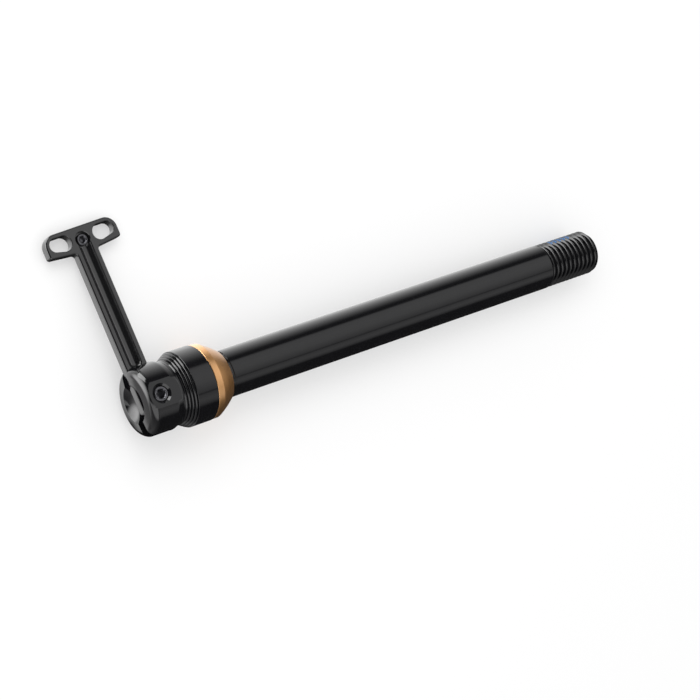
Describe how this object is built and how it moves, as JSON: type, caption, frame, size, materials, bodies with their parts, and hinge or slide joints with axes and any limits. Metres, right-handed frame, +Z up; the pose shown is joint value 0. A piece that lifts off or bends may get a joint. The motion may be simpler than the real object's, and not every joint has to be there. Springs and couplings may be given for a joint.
{
  "type": "quick release skewer, lever through axle for a 12 mm hub",
  "caption": "Quick release skewer: 12 mm through axle with a folding T lever in its forked head, a turning cone washer and a fine M12 thread.",
  "frame": {"origin": "on the axis of the shank at the small face of the cone washer, where the 121 mm of the axle's length start", "axes": "+X runs from the head towards the thread, level, while the axle itself dips 1.7 degrees to the thread; +Z is up from the floor the part lies on; +Y is the side the raised lever points to"},
  "size_m": [0.154, 0.0547, 0.0195],
  "materials": {
    "black_anodised": "satin black anodised",
    "black_anodised_lever": "matt black anodised",
    "screw_steel": "dark steel",
    "gold_anodised": "gold anodised",
    "ring_rubber": "matt"
  },
  "bodies": {
    "axle": {"axle": "black_anodised", "pivot_screw": "screw_steel"},
    "lever": {"lever": "black_anodised_lever", "lever_set_screw": "screw_steel"},
    "washer": {"cone_washer": "gold_anodised", "washer_ring": "ring_rubber"}
  },
  "joints": [
    {"name": "lever_pivot", "type": "hinge", "parent": "axle", "child": "lever", "pos_m": [-0.02044, 0, 0.0006], "axis": [0.0288, 0.1884, 0.9817], "range_deg": [-2, 176]},
    {"name": "washer_spin", "type": "hinge", "parent": "axle", "child": "washer", "pos_m": [-0.00315, 0, 0.00009], "axis": [0.9996, 0, -0.0293], "continuous": true}
  ]
}
